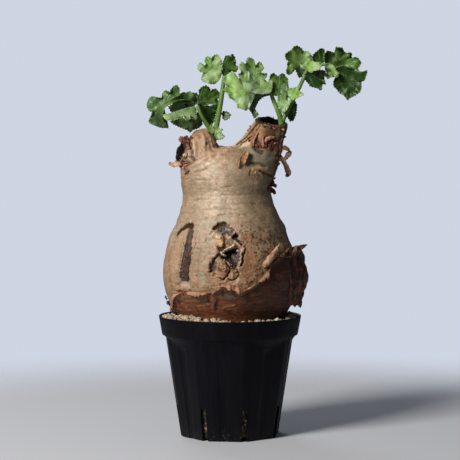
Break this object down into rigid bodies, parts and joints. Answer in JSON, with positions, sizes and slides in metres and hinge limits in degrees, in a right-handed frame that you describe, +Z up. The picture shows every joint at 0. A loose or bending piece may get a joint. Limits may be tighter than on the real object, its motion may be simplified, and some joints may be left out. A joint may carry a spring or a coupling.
{
  "type": "potted cyphostemma uter",
  "caption": "Swollen tan caudex succulent with stub arms, peeling papery bark and crinkled green leaves, in a black slit nursery pot topped with pumice.",
  "frame": {"origin": "middle of the pot's flat underside, where the pot stands on a table", "axes": "+Z up along the pot's axis, -Y towards the viewer of the plant's front, +X to the viewer's right"},
  "size_m": [0.1811, 0.12, 0.3265],
  "materials": {
    "pot_plastic": "matte black moulded plastic with faint scuffs",
    "pumice": "dry rough pale grains",
    "caudex_skin": "smooth waxy tan skin with fine rings and dark specks",
    "bark": "dry papery red-brown bark",
    "leaf": "fleshy green with a pale bloom"
  },
  "bodies": {
    "root": {"pot": "pot_plastic", "soil": "pumice", "caudex": "caudex_skin", "bark_skirt": "bark", "bark_strip_right_upper": "bark", "bark_strip_right_lower": "bark", "bark_flap_neck": "bark", "bark_curl_left": "bark", "bark_curl_shoulder": "bark", "shoot_left": "leaf", "shoot_right": "leaf"}
  },
  "joints": []
}
